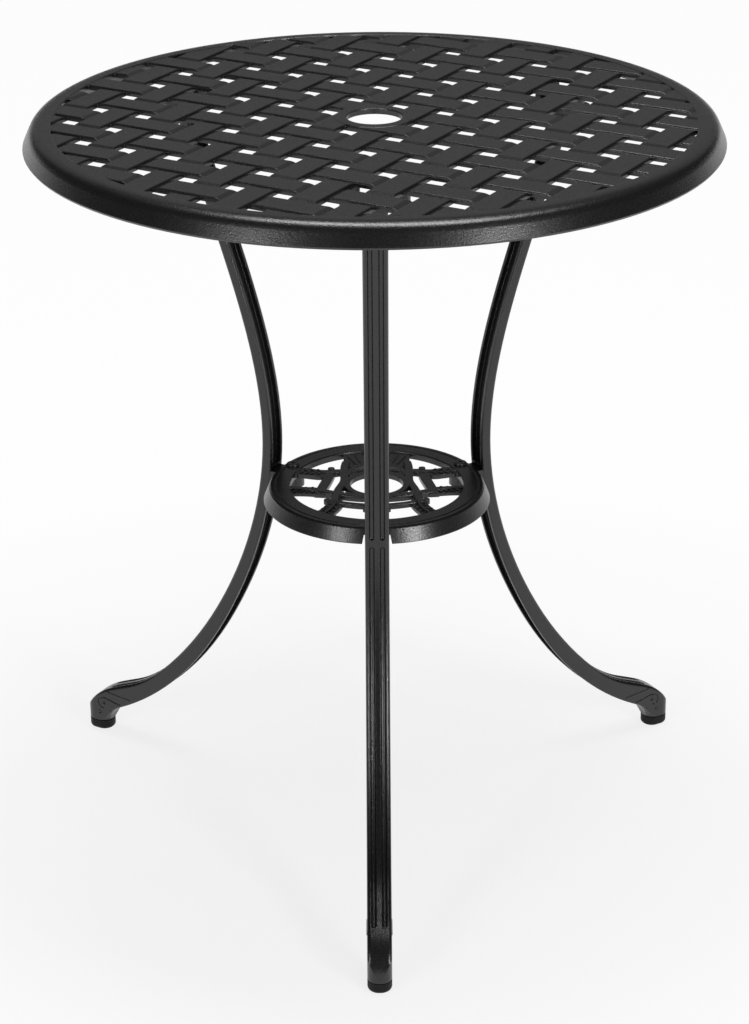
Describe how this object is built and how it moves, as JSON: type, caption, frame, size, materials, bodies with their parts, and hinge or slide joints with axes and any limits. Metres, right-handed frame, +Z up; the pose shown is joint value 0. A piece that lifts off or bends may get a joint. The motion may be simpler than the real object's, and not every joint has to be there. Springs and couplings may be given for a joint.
{
  "type": "garden table",
  "caption": "Round cast-aluminium garden table: basket-weave top with umbrella hole, S-curved legs with scroll feet, small openwork shelf and screw-in levelling glides.",
  "frame": {"origin": "on the floor, on the axis of the umbrella hole, midway between the feet", "axes": "+Z up along the umbrella hole, -Y towards the front leg, +X to its right"},
  "size_m": [0.6109, 0.6405, 0.682],
  "materials": {
    "powder_coat": "satin black powder coat over cast aluminium, with a fine cast texture",
    "zinc_steel": "zinc-plated steel",
    "black_steel": "black oxide steel",
    "brass": "turned brass",
    "nylon": "moulded black nylon"
  },
  "bodies": {
    "table": {"table_top": "powder_coat", "leg_front": "powder_coat", "leg_back_right": "powder_coat", "leg_back_left": "powder_coat", "lower_shelf": "powder_coat", "top_bolts": "zinc_steel", "top_spring_washers": "zinc_steel", "top_washers": "zinc_steel", "shelf_washers": "zinc_steel", "shelf_nuts": "zinc_steel", "shelf_screws": "black_steel", "glide_insert_front": "brass", "glide_insert_back_right": "brass", "glide_insert_back_left": "brass"},
    "glide_front": {"glide_pad_front": "nylon"},
    "stud_front": {"glide_stud_front": "zinc_steel"},
    "glide_back_right": {"glide_pad_back_right": "nylon"},
    "stud_back_right": {"glide_stud_back_right": "zinc_steel"},
    "glide_back_left": {"glide_pad_back_left": "nylon"},
    "stud_back_left": {"glide_stud_back_left": "zinc_steel"}
  },
  "joints": [
    {"name": "glide_front_height", "type": "slide", "parent": "table", "child": "glide_front", "axis": [0, 0, -1], "range_m": [0, 0.008]},
    {"name": "stud_front_turn", "type": "hinge", "parent": "glide_front", "child": "stud_front", "pos_m": [0, -0.32225, 0], "axis": [0, 0, -1], "range_deg": [0, 2305]},
    {"name": "glide_back_right_height", "type": "slide", "parent": "table", "child": "glide_back_right", "axis": [0, 0, -1], "range_m": [0, 0.008]},
    {"name": "stud_back_right_turn", "type": "hinge", "parent": "glide_back_right", "child": "stud_back_right", "pos_m": [0.27908, 0.16112, 0], "axis": [0, 0, -1], "range_deg": [0, 2305]},
    {"name": "glide_back_left_height", "type": "slide", "parent": "table", "child": "glide_back_left", "axis": [0, 0, -1], "range_m": [0, 0.008]},
    {"name": "stud_back_left_turn", "type": "hinge", "parent": "glide_back_left", "child": "stud_back_left", "pos_m": [-0.27908, 0.16112, 0], "axis": [0, 0, -1], "range_deg": [0, 2305]}
  ],
  "couplings": [
    {"joint": "stud_front_turn", "follows": "glide_front_height", "rad_per_m": 5026.5},
    {"joint": "stud_back_right_turn", "follows": "glide_back_right_height", "rad_per_m": 5026.5},
    {"joint": "stud_back_left_turn", "follows": "glide_back_left_height", "rad_per_m": 5026.5}
  ]
}
